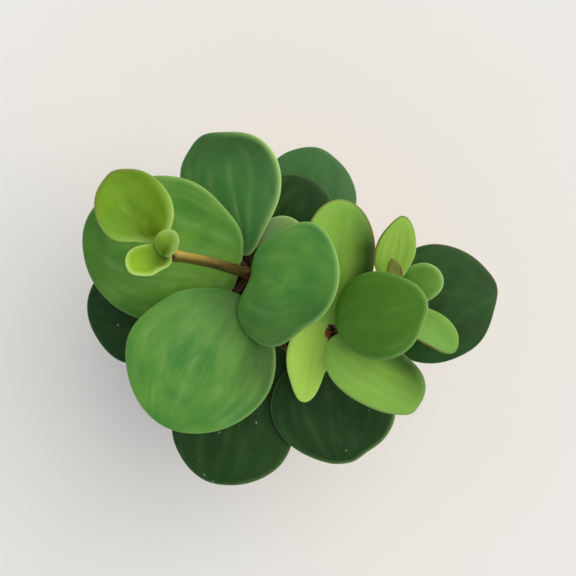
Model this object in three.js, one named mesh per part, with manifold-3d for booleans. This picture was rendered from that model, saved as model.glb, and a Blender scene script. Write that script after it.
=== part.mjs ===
// A young peperomia with round, fleshy leaves, growing in a small clay pot.
// Millimetres, +Z up. The origin is the middle of the pot's flat underside,
// and the foliage's long side runs along X.
//
// Three stems stand in holes in the soil. Each carries its leaves in whorls:
// big dark leaves low down, lighter ones above, and a branch on the left that
// ends in three small young leaves. Every leaf is one solid with its petiole,
// and stops a hair short of the stem that it grows from.
import * as THREE from "three";
import { mergeVertices } from "three/addons/utils/BufferGeometryUtils.js";
import Module from "manifold-3d";

const wasm = await Module();
wasm.setup();

// Driving dimensions of the pot and its soil
const POT_HEIGHT = 50;
const POT_TOP_RADIUS = 27.5;
const POT_FOOT_RADIUS = 19;
const POT_WALL = 3;
const POT_FLOOR = 4;
const POT_EDGE = 0.8;
const RIM_HEIGHT = 13;
const RIM_WALL = 3.5;
const RIM_STEP = 2;
const RIM_TAPER = 0.6;
const ROUND_SIDES = 36;
const DRAIN_COUNT = 3;
const DRAIN_RADIUS = 2.6;
const DRAIN_CIRCLE = 9;
const DRAIN_SIDES = 12;
const SOIL_LEVEL = 43;
const SOIL_MOUND = 2.2;
const SOIL_RINGS = 6;
const SOIL_LUMP = 0.7;
const SOIL_WAVE = 2;
const GAP = 0.3;

// Driving dimensions of the stems and leaves
const STEM_RADIUS = 1.5;
const BRANCH_RADIUS = 1.15;
const STEM_SIDES = 8;
const STEM_STEPS = 5;
const STEM_ROOT_Z = 26;
const PETIOLE_RADIUS = 0.85;
const PETIOLE_TAPER = 0.6;
const PETIOLE_SIDES = 6;
const PETIOLE_STEPS = 6;
const PETIOLE_REACH = [0.02, 0.18];
const PETIOLE_DROP = 0.25;
const LEAF_THICKNESS = 1.7;
const LEAF_AROUND = 24;
const LEAF_RINGS = 6;
const NOTCH_SPREAD = 0.4;
const NO_BEND = 1e-6;

const COLOURS = {
  clay: 0xb8694a,
  soil: 0x2c2018,
  stem: 0x8a5a30,
  branch: 0xa07a2c,
  dark: 0x2c4a2a,
  deep: 0x3f6a3a,
  mid: 0x4d8038,
  fresh: 0x6fa040,
  young: 0x8db83c,
};

function finish(name) {
  const roughness = name === "clay" || name === "soil" ? 0.9 : 0.45;
  return new THREE.MeshStandardMaterial({ color: COLOURS[name], roughness, metalness: 0 });
}

// A three.js geometry as a closed solid, and back again
function toSolid(geometry) {
  const bare = geometry.clone();
  bare.deleteAttribute("normal");
  bare.deleteAttribute("uv");
  const merged = mergeVertices(bare, 1e-4);
  return new wasm.Manifold(
    new wasm.Mesh({
      numProp: 3,
      vertProperties: new Float32Array(merged.attributes.position.array),
      triVerts: new Uint32Array(merged.index.array),
    }),
  );
}

function toGeometry(solid) {
  const mesh = solid.getMesh();
  const geometry = new THREE.BufferGeometry();
  geometry.setAttribute("position", new THREE.BufferAttribute(mesh.vertProperties, 3));
  geometry.setIndex(new THREE.BufferAttribute(mesh.triVerts, 1));
  geometry.computeVertexNormals();
  return geometry;
}

function named(name, geometry, colour) {
  const mesh = new THREE.Mesh(geometry, finish(colour));
  mesh.name = name;
  return mesh;
}

// A round bar that is bent along a curve and tapers evenly from end to end
function bentBar(points, startRadius, endRadius, sides, steps) {
  const curve = new THREE.CatmullRomCurve3(points);
  const frames = curve.computeFrenetFrames(steps, false);
  const bar = new THREE.CylinderGeometry(1, 1, 1, sides, steps);
  const place = bar.attributes.position;
  for (let i = 0; i < place.count; i++) {
    const share = place.getY(i) + 0.5;
    const step = Math.round(share * steps);
    const radius = THREE.MathUtils.lerp(startRadius, endRadius, share);
    const centre = curve.getPointAt(Math.min(1, Math.max(0, share)));
    centre.addScaledVector(frames.normals[step], place.getX(i) * radius);
    centre.addScaledVector(frames.binormals[step], -place.getZ(i) * radius);
    place.setXYZ(i, centre.x, centre.y, centre.z);
  }
  return bar;
}

// The pot: a thrown clay pot with a thick rim band and three drain holes
function makePot() {
  const bandBottom = POT_HEIGHT - RIM_HEIGHT;
  const bandRadius = POT_TOP_RADIUS - RIM_TAPER;
  const outline = [
    [0, 0],
    [POT_FOOT_RADIUS - POT_EDGE, 0],
    [POT_FOOT_RADIUS, POT_EDGE],
    [POT_TOP_RADIUS - RIM_STEP, bandBottom],
    [bandRadius - POT_EDGE, bandBottom],
    [bandRadius, bandBottom + POT_EDGE],
    [POT_TOP_RADIUS, POT_HEIGHT - POT_EDGE],
    [POT_TOP_RADIUS - POT_EDGE, POT_HEIGHT],
    [POT_TOP_RADIUS - RIM_WALL + POT_EDGE, POT_HEIGHT],
    [POT_TOP_RADIUS - RIM_WALL, POT_HEIGHT - POT_EDGE],
    [POT_FOOT_RADIUS - POT_WALL, POT_FLOOR],
    [0, POT_FLOOR],
  ];
  const profile = outline.map(([r, z]) => new THREE.Vector2(r, z));
  const turned = new THREE.LatheGeometry(profile, ROUND_SIDES).rotateX(Math.PI / 2);
  let pot = toSolid(turned);
  for (let i = 0; i < DRAIN_COUNT; i++) {
    const angle = (2 * Math.PI * i) / DRAIN_COUNT + Math.PI / 2;
    const drill = new THREE.CylinderGeometry(DRAIN_RADIUS, DRAIN_RADIUS, 4 * POT_FLOOR, DRAIN_SIDES);
    drill.rotateX(Math.PI / 2);
    drill.translate(DRAIN_CIRCLE * Math.cos(angle), DRAIN_CIRCLE * Math.sin(angle), 0);
    pot = pot.subtract(toSolid(drill));
  }
  return named("pot", toGeometry(pot), "clay");
}

// The inner face of the pot's wall, as a radius at a height
function innerRadius(z) {
  const share = (z - POT_FLOOR) / (POT_HEIGHT - POT_EDGE - POT_FLOOR);
  return THREE.MathUtils.lerp(POT_FOOT_RADIUS - POT_WALL, POT_TOP_RADIUS - RIM_WALL, share);
}

// The soil: a plug that fills the pot, mounded and uneven on top
function makeSoil(stems) {
  const spare = (1.1 * GAP) / Math.cos(Math.PI / ROUND_SIDES);
  const edge = innerRadius(SOIL_LEVEL) - spare;
  const bottom = POT_FLOOR + GAP;
  const outline = [[0, bottom], [innerRadius(bottom) - spare, bottom]];
  for (let i = SOIL_RINGS; i >= 0; i--) {
    const share = i / SOIL_RINGS;
    outline.push([edge * share, SOIL_LEVEL + SOIL_MOUND * (1 - share ** 2)]);
  }
  const profile = outline.map(([r, z]) => new THREE.Vector2(r, z));
  const plug = new THREE.LatheGeometry(profile, ROUND_SIDES).rotateX(Math.PI / 2);
  const place = plug.attributes.position;
  for (let i = 0; i < place.count; i++) {
    const [x, y, z] = [place.getX(i), place.getY(i), place.getZ(i)];
    if (z < 0.9 * SOIL_LEVEL) continue;
    const fade = 1 - (Math.hypot(x, y) / edge) ** 4;
    const lumps = Math.sin(x / SOIL_WAVE + 1) * Math.cos(y / SOIL_WAVE);
    place.setZ(i, z + SOIL_LUMP * fade * lumps);
  }
  let soil = toSolid(plug);
  for (const stem of stems) soil = soil.subtract(toSolid(stem.room));
  return named("soil", toGeometry(soil), "soil");
}

// Stems, each as the points that it passes through, from its root end up.
// The left one bends over into a slim branch above its whorl of leaves.
const STEMS = [
  {
    name: "stem_left",
    radius: STEM_RADIUS,
    tip: BRANCH_RADIUS,
    points: [
      [-2.0, 2.6, STEM_ROOT_Z], [-2.6, 3.4, 45], [-3.2, 5.2, 57], [-3.5, 7.4, 67],
      [-5.2, 8.3, 74], [-12.0, 9.5, 82.5], [-19.5, 10.8, 90.8],
    ],
  },
  {
    name: "stem_middle",
    radius: STEM_RADIUS,
    tip: STEM_RADIUS,
    points: [[12.2, -6.0, STEM_ROOT_Z], [13.2, -6.4, 44], [14.8, -7.2, 57], [16.4, -6.7, 68]],
  },
  {
    name: "stem_right",
    radius: STEM_RADIUS,
    tip: BRANCH_RADIUS,
    points: [[16.0, 1.5, STEM_ROOT_Z], [18.2, 1.0, 44], [25.5, 1.5, 55], [30.4, 1.8, 65]],
  },
];

function vectors(points) {
  return points.map((p) => new THREE.Vector3(...p));
}

// A stem, and the room that it takes up in the soil and among the petioles
function makeStem(stem) {
  const line = vectors(stem.points);
  const steps = STEM_STEPS * (line.length - 1);
  const bar = bentBar(line, stem.radius, stem.tip, STEM_SIDES, steps);
  const spare = GAP / Math.cos(Math.PI / STEM_SIDES);
  const last = line.length - 1;
  const onward = line[last].clone().sub(line[last - 1]).normalize();
  line[0].z -= GAP;
  line[last].addScaledVector(onward, GAP);
  const room = bentBar(line, stem.radius + spare, stem.tip + spare, STEM_SIDES, steps);
  return { mesh: named(stem.name, bar, "stem"), room };
}

// Leaves. joint is where the petiole leaves its stem, base and tip are the
// two ends of the blade. roll lifts the left edge, seen from base to tip.
// arch bends the midrib down and cup lifts both edges, in degrees over the
// whole blade. broad moves the widest place towards the tip, point and taper
// narrow the tip and base, notch cuts the base in, and skew moves the left
// edge towards the tip.
const LEAVES = [
  // Left stem: a whorl of four where its branch starts
  {
    name: "leaf_left", tone: "fresh",
    joint: [-3.5, 7.3, 66.2], base: [-4.6, 10.2, 66.5], tip: [-41.1, 15.6, 71],
    width: 34.5, roll: -12, arch: 14, cup: 14, notch: 0.06,
  },
  {
    name: "leaf_front_left", tone: "fresh",
    joint: [-3.4, 7.0, 65], base: [-6.1, 3.0, 69.5], tip: [-22.4, -27.5, 72.5],
    width: 33.5, roll: -8, arch: 16, cup: 8,
  },
  {
    name: "leaf_centre", tone: "mid",
    joint: [-3.4, 7.4, 66.5], base: [-4.4, 6.9, 70], tip: [16.4, 2.2, 84],
    width: 30.2, arch: 16, cup: 6, notch: 0.1, skew: 0.12,
  },
  {
    name: "leaf_back", tone: "deep",
    joint: [-3.4, 7.0, 63.2], base: [-3.6, 11.4, 65.4], tip: [-9.2, 39.4, 69.4],
    width: 25, roll: -16, arch: 8, cup: 34, broad: 0.09, taper: 0.35,
  },
  // Left stem: darker leaves lower down
  {
    name: "leaf_left_low", tone: "dark",
    joint: [-3.1, 4.6, 55], base: [-12.0, 1.5, 56], tip: [-42.6, -2.4, 57],
    width: 26, arch: 12,
  },
  {
    name: "leaf_front_left_low", tone: "dark",
    joint: [-3.1, 4.2, 53.5], base: [-2.6, -9.5, 54], tip: [-12.0, -44.2, 54],
    width: 29.5, arch: 8,
  },
  {
    name: "leaf_back_right_low", tone: "dark",
    joint: [-3.1, 4.8, 55], base: [4.9, 10.9, 55.5], tip: [14.7, 37.2, 56.5],
    width: 22.5, arch: 6,
  },
  {
    name: "leaf_back_right", tone: "dark",
    joint: [-3.2, 5.4, 58], base: [-0.5, 10.8, 58.7], tip: [12.6, 28.6, 60.5],
    width: 22, arch: 8,
  },
  {
    name: "leaf_back_small", tone: "deep",
    joint: [-3.3, 6.0, 61.5], base: [3.3, 8.3, 62.4], tip: [5.2, 20.5, 66],
    width: 12, arch: 4, cup: 10,
  },
  // Left stem: three young leaves at the end of its branch
  {
    name: "young_leaf_large", tone: "young",
    joint: [-18.6, 10.7, 89.4], base: [-22.1, 13.5, 92.3], tip: [-30.9, 27.0, 99],
    width: 16.2, cup: 30, thick: 1.3, petiole: 0.55,
  },
  {
    name: "young_leaf_left", tone: "young",
    joint: [-18.9, 10.7, 89.7], base: [-20.6, 9.5, 92.1], tip: [-27.9, 8.0, 96.5],
    width: 7.6, cup: 110, thick: 1, petiole: 0.55,
  },
  {
    name: "young_leaf_right", tone: "young",
    joint: [-19.4, 10.9, 90.4], base: [-19.6, 11.3, 95], tip: [-19.4, 15.7, 99.1],
    width: 5.8, cup: 90, thick: 1, petiole: 0.5,
  },
  // Middle stem: a whorl of four at its top, and one dark leaf lower down
  {
    name: "leaf_middle_back", tone: "fresh",
    joint: [16.0, -6.4, 66.4], base: [15.4, -4.7, 70], tip: [17.8, 23.6, 77.8],
    width: 17.3, cup: 75, broad: 0.03,
  },
  {
    name: "leaf_middle_right", tone: "mid",
    joint: [16.6, -6.6, 66.5], base: [17.0, -6.1, 74], tip: [36.7, 0.1, 80.5],
    width: 21, arch: 12, point: 0.3, petiole: 0.6,
  },
  {
    name: "leaf_middle_left", tone: "young",
    joint: [16.0, -6.8, 62.4], base: [13.6, -3.8, 65.1], tip: [8.9, -23.4, 59.9],
    width: 13.4, roll: 25, cup: 84, broad: -0.08, point: 0.2,
  },
  {
    name: "leaf_middle_front", tone: "fresh",
    joint: [16.4, -6.9, 67.1], base: [15.8, -9.3, 70.2], tip: [36.2, -22.4, 72.2],
    width: 17.2, cup: 40, taper: 0.3, petiole: 0.7,
  },
  {
    name: "leaf_front_low", tone: "dark",
    joint: [14.6, -7.1, 56], base: [13.9, -11.4, 58], tip: [18.4, -38.8, 56],
    width: 29.5, arch: 6, point: 0.3,
  },
  // Right stem: a young whorl of three round a bud, and one dark leaf
  {
    name: "sprig_leaf_back", tone: "fresh",
    joint: [30.0, 1.8, 63], base: [29.2, 5.0, 66], tip: [31.5, 20.1, 73],
    width: 10, cup: 50, point: 0.4, thick: 1.2,
  },
  {
    name: "sprig_bud", tone: "branch",
    joint: [30.2, 1.8, 64.4], base: [30.6, 4.4, 70.4], tip: [29.1, 10.4, 75.8],
    width: 3.6, cup: 60, point: 0.3, thick: 1, petiole: 0.5,
  },
  {
    name: "sprig_leaf_right", tone: "fresh",
    joint: [29.8, 1.8, 63], base: [33.4, 3.2, 66], tip: [41.3, 6.7, 69],
    width: 9.5, cup: 20, thick: 1.2,
  },
  {
    name: "sprig_leaf_front", tone: "fresh",
    joint: [30.0, 1.8, 63], base: [31.9, -1.4, 65.5], tip: [45.2, -11.0, 66.5],
    width: 10, cup: 40, thick: 1.2,
  },
  {
    name: "leaf_right_low", tone: "dark",
    joint: [24.6, 1.3, 53.6], base: [28.8, -2.2, 56.5], tip: [55.1, 3.4, 58],
    width: 28, arch: 8, point: 0.1,
  },
];

const PLAIN_LEAF = {
  roll: 0, arch: 0, cup: 0, broad: 0, point: 0, taper: 0, notch: 0, skew: 0,
  thick: LEAF_THICKNESS, petiole: PETIOLE_RADIUS,
};

// Where a point of the flat leaf outline lies: 0 degrees is the tip
function outlinePoint(leaf, length, angle, reach) {
  const cos = Math.cos(angle);
  const middle = 0.5 + leaf.broad;
  const fromBase = Math.PI - Math.abs(angle);
  const dent = leaf.notch * Math.exp(-((fromBase / NOTCH_SPREAD) ** 2));
  const along = 0.5 + 0.5 * cos + leaf.broad * Math.sin(angle) ** 2 + dent;
  const nearTip = leaf.point * ((1 + cos) / 2) ** 4;
  const nearBase = leaf.taper * ((1 - cos) / 2) ** 4;
  const across = 0.5 * Math.sin(angle) * (1 - nearTip - nearBase);
  const side = leaf.width * across * reach;
  return [length * (middle + (along - middle) * reach) + leaf.skew * side, side];
}

// Bends a point of the flat leaf: arch along the midrib, cup across it
function bend(leaf, length, along, across, up) {
  const arch = THREE.MathUtils.degToRad(leaf.arch) || NO_BEND;
  const cup = THREE.MathUtils.degToRad(leaf.cup) || NO_BEND;
  const round = leaf.width / cup;
  const turn = across / round;
  const side = (round - up) * Math.sin(turn);
  const lift = round - (round - up) * Math.cos(turn);
  const spine = length / arch;
  const lean = (along / length - 0.5) * arch;
  const half = spine * Math.sin(arch / 2);
  return new THREE.Vector3(
    (spine + lift) * Math.sin(lean) + half,
    side,
    (spine + lift) * Math.cos(lean) - spine * Math.cos(arch / 2),
  );
}

// The turn and shift that take a leaf from its own frame, with its base at
// the origin and its midrib along +X, to its place
function leafPlace(leaf, base, tip) {
  const forward = tip.clone().sub(base).normalize();
  const heading = Math.atan2(forward.y, forward.x);
  const rise = Math.asin(forward.z);
  const roll = THREE.MathUtils.degToRad(leaf.roll);
  const turn = new THREE.Euler(roll, -rise, heading, "ZYX");
  return new THREE.Matrix4().makeRotationFromEuler(turn).setPosition(base);
}

// A leaf: a flattened ball shaped into the blade, joined with its petiole
function makeLeaf(given, stems) {
  const leaf = { ...PLAIN_LEAF, ...given };
  const [joint, base, tip] = vectors([leaf.joint, leaf.base, leaf.tip]);
  const arch = THREE.MathUtils.degToRad(leaf.arch) || NO_BEND;
  const length = (base.distanceTo(tip) * arch) / 2 / Math.sin(arch / 2);
  const place = leafPlace(leaf, base, tip);

  const blade = new THREE.SphereGeometry(1, LEAF_AROUND, LEAF_RINGS);
  const spots = blade.attributes.position;
  for (let i = 0; i < spots.count; i++) {
    const x = spots.getX(i);
    const z = spots.getZ(i);
    const reach = Math.min(1, Math.hypot(x, z));
    const [along, across] = outlinePoint(leaf, length, Math.atan2(-z, x), reach);
    const body = Math.sqrt(1 - reach ** 4);
    const up = Math.sign(spots.getY(i)) * 0.5 * leaf.thick * body;
    const spot = bend(leaf, length, along, across, up).applyMatrix4(place);
    spots.setXYZ(i, spot.x, spot.y, spot.z);
  }

  const [seat, end] = PETIOLE_REACH.map((share) => {
    const along = (leaf.notch + share) * length;
    return bend(leaf, length, along, 0, -PETIOLE_DROP).applyMatrix4(place);
  });
  const thin = PETIOLE_TAPER * leaf.petiole;
  const petiole = bentBar([joint, seat, end], leaf.petiole, thin, PETIOLE_SIDES, PETIOLE_STEPS);
  let whole = toSolid(blade).add(toSolid(petiole));
  for (const stem of stems) whole = whole.subtract(toSolid(stem.room));
  return named(leaf.name, toGeometry(whole), leaf.tone);
}

const plant = new THREE.Group();
const stems = STEMS.map(makeStem);
plant.add(makePot(), makeSoil(stems));
stems.forEach((stem) => plant.add(stem.mesh));
LEAVES.forEach((leaf) => plant.add(makeLeaf(leaf, stems)));

export default plant;
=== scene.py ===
"""A young peperomia with round, fleshy leaves in a small clay pot.

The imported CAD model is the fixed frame. Every solid in it is replaced by a finer piece of the
same form: a thrown clay pot, crumbly soil, jointed stems, and leaves with veins and soft rims.
Tables are in millimetres in the CAD frame, +Z up, and meshes are made in metres from them.
"""

import math
import random

import bmesh
import bpy
import numpy as np
from mathutils import Matrix, Vector, noise


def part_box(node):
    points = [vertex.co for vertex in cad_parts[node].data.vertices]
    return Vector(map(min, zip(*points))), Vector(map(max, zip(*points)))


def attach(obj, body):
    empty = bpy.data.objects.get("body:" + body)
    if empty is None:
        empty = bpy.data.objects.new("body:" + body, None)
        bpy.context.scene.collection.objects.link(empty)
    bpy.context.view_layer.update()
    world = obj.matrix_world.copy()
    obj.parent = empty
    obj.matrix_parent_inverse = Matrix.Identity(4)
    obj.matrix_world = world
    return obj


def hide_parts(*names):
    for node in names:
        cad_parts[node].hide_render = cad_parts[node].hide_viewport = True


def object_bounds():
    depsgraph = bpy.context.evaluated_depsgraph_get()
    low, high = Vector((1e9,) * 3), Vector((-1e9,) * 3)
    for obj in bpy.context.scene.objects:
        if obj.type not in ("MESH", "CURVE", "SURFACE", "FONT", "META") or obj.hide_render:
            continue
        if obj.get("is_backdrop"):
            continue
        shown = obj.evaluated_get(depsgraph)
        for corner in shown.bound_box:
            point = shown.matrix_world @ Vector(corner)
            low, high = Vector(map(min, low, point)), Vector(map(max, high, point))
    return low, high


bl_info = {
    "name": "Potted peperomia",
    "version": (1, 0, 0),
    "blender": (4, 5, 0),
    "location": "3D View > Sidebar > Peperomia",
    "description": "Grows a young peperomia with fleshy leaves in a small clay pot",
    "category": "Object",
}

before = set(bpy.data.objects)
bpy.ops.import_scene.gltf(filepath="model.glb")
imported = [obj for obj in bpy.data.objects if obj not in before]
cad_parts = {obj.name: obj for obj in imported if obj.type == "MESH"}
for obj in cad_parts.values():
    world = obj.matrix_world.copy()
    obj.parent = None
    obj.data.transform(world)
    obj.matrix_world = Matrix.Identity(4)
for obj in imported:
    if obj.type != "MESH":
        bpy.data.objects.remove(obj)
CAD_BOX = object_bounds()
POT_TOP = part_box("pot")[1]

MM = 0.001
BODY = "root"


def linear(code):
    """An sRGB hex colour as linear red, green, blue and alpha."""
    shares = [int(code[i : i + 2], 16) / 255 for i in (0, 2, 4)]
    return [s / 12.92 if s <= 0.04045 else ((s + 0.055) / 1.055) ** 2.4 for s in shares] + [1.0]


# Sizes and colours that a user would change


def span(name, description, default, least=0.0):
    """A length that a user can change, in metres."""
    return bpy.props.FloatProperty(
        name=name, description=description, default=default, min=least, subtype="DISTANCE", unit="LENGTH",
    )


def colour(name, description, code):
    """A colour that a user can change."""
    return bpy.props.FloatVectorProperty(
        name=name, description=description, default=linear(code), size=4, min=0, max=1, subtype="COLOR",
    )


class PlantSizes(bpy.types.PropertyGroup):
    """Sizes of the pot, the soil, the stems and the leaves."""

    pot_height: span("Pot height", "From the floor to the top of the pot's rim", POT_TOP.z, 20 * MM)
    pot_radius: span("Pot radius", "Outside radius at the top of the rim band", POT_TOP.x, 10 * MM)
    foot_radius: span("Foot radius", "Outside radius at the pot's underside", 19 * MM, 5 * MM)
    band_height: span("Rim band", "Height of the thick band round the pot's top", 13 * MM, MM)
    throwing_mark: span("Throwing mark", "Depth of the spiral that the potter's fingers leave", 0.09 * MM)
    crumb: span("Soil crumb", "Radius of a common crumb of soil", 0.75 * MM, 0.1 * MM)
    crumb_count: bpy.props.IntProperty(
        name="Crumbs", description="Loose crumbs that lie on the soil", default=900, min=0,
    )
    node_swell: span("Joint swelling", "How far a stem swells where a leaf stalk leaves it", 0.32 * MM)
    leaf_thickness: span("Leaf thickness", "Thickness of a grown leaf in its middle", 1.7 * MM, 0.2 * MM)
    rim_width: span("Leaf rim", "Width of the pale rim round a leaf", 1.0 * MM)
    vein_depth: span("Vein depth", "How deep the veins lie in a leaf's upper side", 0.08 * MM)
    wave_height: span("Leaf waves", "Height of the soft waves in a leaf of 30 mm", 0.35 * MM)


class PlantColours(bpy.types.PropertyGroup):
    """Colours of the clay, the soil, the stems and the leaves."""

    clay: colour("Clay", "Fired clay of the pot", "b8694a")
    clay_dark: colour("Dark clay", "Damp or harder fired patches of the pot", "934a31")
    lime: colour("Lime", "Pale salts that dry on the clay", "e0cdbd")
    soil: colour("Soil", "Moist potting soil", "2a1e15")
    soil_dry: colour("Dry soil", "Dry crumbs and bits of bark", "5a4330")
    perlite: colour("Perlite", "White grains in the soil", "d8d4c8")
    stem_old: colour("Old stem", "Lower end of a stem", "30210f")
    stem_red: colour("Red stem", "Stem near its leaf joints", "903824")
    stem_young: colour("Young stem", "Far end of the bare branch", "be9e48")
    stem_shade: colour("Shaded stem", "Its side away from the light", "4c4404")
    leaf_young: colour("Young leaf", "Leaves at a branch's end", "80a400")
    leaf_fresh: colour("Fresh leaf", "Leaves that are still growing", "84b440")
    leaf_mid: colour("Grown leaf", "Leaves that have just grown full", "468734")
    leaf_deep: colour("Deep green leaf", "Leaves of last season", "397432")
    leaf_dark: colour("Old leaf", "Dark leaves low on a stem", "1d4013")
    leaf_sun: colour("Sunlit leaf", "Yellower green of leaves that stand in the light", "4e7c0c")
    # Painted light: a paler green that makes a leaf look lit through, or lit where it lies in shade
    leaf_painted_light: colour("Thin leaf", "Pale green of a thin leaf in the light", "ccf664")
    # Partly the flesh's own darker heart, partly painted shade in the hollow of cupped young leaves
    heart: colour("Leaf heart", "Darker flesh near the base of some leaves", "4c6c00")
    # Painted shade: the darker side of a leaf, standing in for the shade that its neighbours cast
    dusk: colour("Shaded flesh", "Side of a leaf that its neighbours shade", "22400c")
    bud: colour("Bud", "Olive brown of a bud that hasn't opened", "8a6a2c")
    vein: colour("Vein", "Pale flesh along a leaf's veins", "a9cf72")
    vein_young: colour("Young vein", "Pale flesh along a young leaf's veins", "a8c838")
    # Used for the thin rim line, and for the broad rim that is painted light on a leaf's pale side
    rim: colour("Leaf rim", "Clear flesh at a leaf's rim", "b2d77e")
    rim_young: colour("Young leaf rim", "Clear flesh at a young leaf's rim", "b0d068")
    # Partly greyish wax, partly a painted sheen: the grey of the sky reflected in tilted leaves
    bloom: colour("Bloom", "Greyish wax on some leaves", "7f9a78")
    underside: colour("Underside", "Pale flesh on a leaf's underside", "86a665")
    edge: colour("Leaf edge", "Reddish brown edge of some leaves", "6b4a30")
    # Red brown darkened almost to black: partly the stalk's own colour, partly painted shade in the gap among
    # the stems
    stalk: colour("Leaf stalk", "Stalk where it leaves the stem", "341a0e")
    fleck: colour("Fleck", "Dried water marks on old leaves", "dfe8dc")


class StageLook(bpy.types.PropertyGroup):
    """The floor and the camera."""

    floor: colour("Floor", "Plain pale floor", "fcf9ef")
    camera_height: span("Camera height", "From the floor straight up to the camera", 350 * MM, 50 * MM)
    field_of_view: bpy.props.FloatProperty(
        name="Field of view", description="Angle that the picture's width takes in",
        default=math.radians(26.613), min=0.05, max=3, subtype="ANGLE", unit="ROTATION",
    )


# Pieces

CURVE_STEPS = 24


def mm(value):
    """A property's metres as millimetres."""
    return value / MM


def make_piece(name, node, points, faces, facts, material):
    """A closed mesh that stands for a CAD node. facts are numbers or triples for each point."""
    mesh = bpy.data.meshes.new(name)
    mesh.from_pydata((np.asarray(points) * MM).tolist(), [], faces)
    skin = bmesh.new()
    skin.from_mesh(mesh)
    bmesh.ops.recalc_face_normals(skin, faces=skin.faces)
    skin.to_mesh(mesh)
    skin.free()
    mesh.shade_smooth()
    for key, values in facts.items():
        values = np.asarray(values, np.float32)
        kind, field = ("FLOAT", "value") if values.ndim == 1 else ("FLOAT_VECTOR", "vector")
        mesh.attributes.new(key, kind, "POINT").data.foreach_set(field, values.ravel())
    mesh.materials.append(material)
    piece = bpy.data.objects.new(name, mesh)
    bpy.context.scene.collection.objects.link(piece)
    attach(piece, BODY)
    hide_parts(node)
    return piece


def ring_faces(rings, around, first=0):
    """Faces of a closed skin: a start point, rings of points, and an end point."""
    last = first + 1 + rings * around
    faces = []
    for i in range(around):
        j = (i + 1) % around
        faces.append((first, first + 1 + i, first + 1 + j))
        for ring in range(rings - 1):
            inner = first + 1 + ring * around
            outer = inner + around
            faces.append((inner + i, outer + i, outer + j, inner + j))
        faces.append((last - around + j, last - around + i, last))
    return faces


def smooth_line(points, step):
    """A centripetal curve through points, as evenly spaced places about a step apart."""
    knots = [np.array(p, float) for p in points]
    knots = [2 * knots[0] - knots[1]] + knots + [2 * knots[-1] - knots[-2]]
    fine = []
    for a, b, c, d in zip(knots, knots[1:], knots[2:], knots[3:]):
        gaps = [max(1e-6, np.linalg.norm(q - p)) ** 0.5 for p, q in ((a, b), (b, c), (c, d))]
        leave = (b - a) / gaps[0] - (c - a) / (gaps[0] + gaps[1]) + (c - b) / gaps[1]
        arrive = (c - b) / gaps[1] - (d - b) / (gaps[1] + gaps[2]) + (d - c) / gaps[2]
        leave, arrive = leave * gaps[1], arrive * gaps[1]
        for t in np.linspace(0, 1, CURVE_STEPS, endpoint=False):
            square, cube = t * t, t * t * t
            fine.append(
                b + leave * t
                + (-3 * b + 3 * c - 2 * leave - arrive) * square
                + (2 * b - 2 * c + leave + arrive) * cube
            )
    fine = np.array(fine + [knots[-2]])
    run = np.concatenate([[0], np.cumsum(np.linalg.norm(np.diff(fine, axis=0), axis=1))])
    even = np.linspace(0, run[-1], max(4, round(run[-1] / step)) + 1)
    return np.stack([np.interp(even, run, fine[:, i]) for i in range(3)], 1), even


def tube(line, radii, sides):
    """Points of a bar along a line: a start point, its rings and an end point."""
    ahead = np.gradient(line, axis=0)
    ahead /= np.linalg.norm(ahead, axis=1)[:, None]
    side = np.cross(ahead[0], (0, 0, 1) if abs(ahead[0][2]) < 0.9 else (0, 1, 0))
    points = [line[0]]
    turn = np.linspace(0, 2 * math.pi, sides, endpoint=False)
    for here, forward, radius in zip(line, ahead, radii):
        side = side - forward * (side @ forward)
        side /= np.linalg.norm(side)
        up = np.cross(forward, side)
        ring = np.outer(np.cos(turn), side) + np.outer(np.sin(turn), up)
        points.extend(here + ring * np.broadcast_to(radius, sides)[:, None])
    return np.array(points + [line[-1]])


# Materials


def add(tree, kind, feeds=(), out=0, **settings):
    """Adds a shader node and returns the output asked for. Feeds are plain values or outputs of
    other nodes: in order for the first inputs, or by the inputs' numbers or names."""
    node = tree.nodes.new("ShaderNode" + kind)
    for name, value in settings.items():
        setattr(node, name, value)
    for key, value in feeds.items() if isinstance(feeds, dict) else enumerate(feeds):
        if isinstance(value, bpy.types.NodeSocket):
            tree.links.new(value, node.inputs[key])
        else:
            node.inputs[key].default_value = value
    return node.outputs[out]


def new_material(name):
    """An empty node material, its nodes and its surface."""
    material = bpy.data.materials.new(name)
    material.use_nodes = True
    tree = material.node_tree
    tree.nodes.clear()
    return material, tree, tree.nodes.new("ShaderNodeOutputMaterial").inputs["Surface"]


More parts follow.
